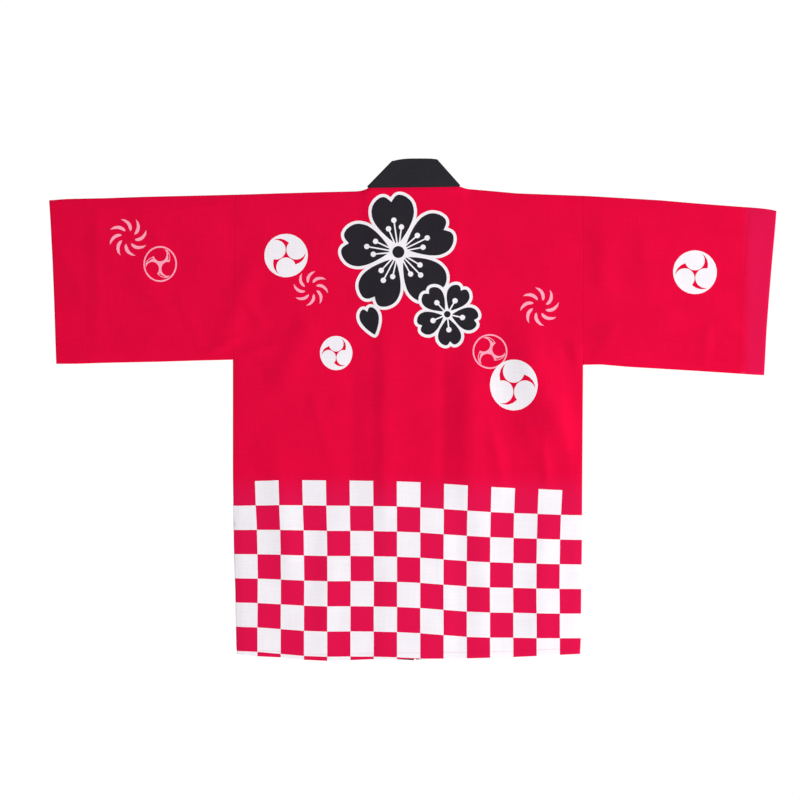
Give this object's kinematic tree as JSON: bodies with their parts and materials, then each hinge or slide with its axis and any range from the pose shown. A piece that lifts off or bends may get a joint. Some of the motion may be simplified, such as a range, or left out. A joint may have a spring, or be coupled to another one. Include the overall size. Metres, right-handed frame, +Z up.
{
  "type": "happi coat",
  "caption": "Short cotton festival coat laid flat with its back up: straight sleeves, an open front and a long collar band.",
  "frame": {"origin": "centre of the coat's outline, on the surface that it lies on", "axes": "+X across the sleeves to the right of a person who looks down on the back, +Y from the hem to the collar, +Z up from the surface"},
  "size_m": [1.3094, 0.9035, 0.0063],
  "materials": {
    "printed_cotton": "plain weave cotton, printed red with a white check and white and black motifs",
    "collar_cotton": "plain weave cotton, dyed black"
  },
  "bodies": {
    "root": {"back": "printed_cotton", "front_left": "printed_cotton", "front_right": "printed_cotton", "sleeve_left": "printed_cotton", "sleeve_right": "printed_cotton", "collar": "collar_cotton"}
  },
  "joints": []
}
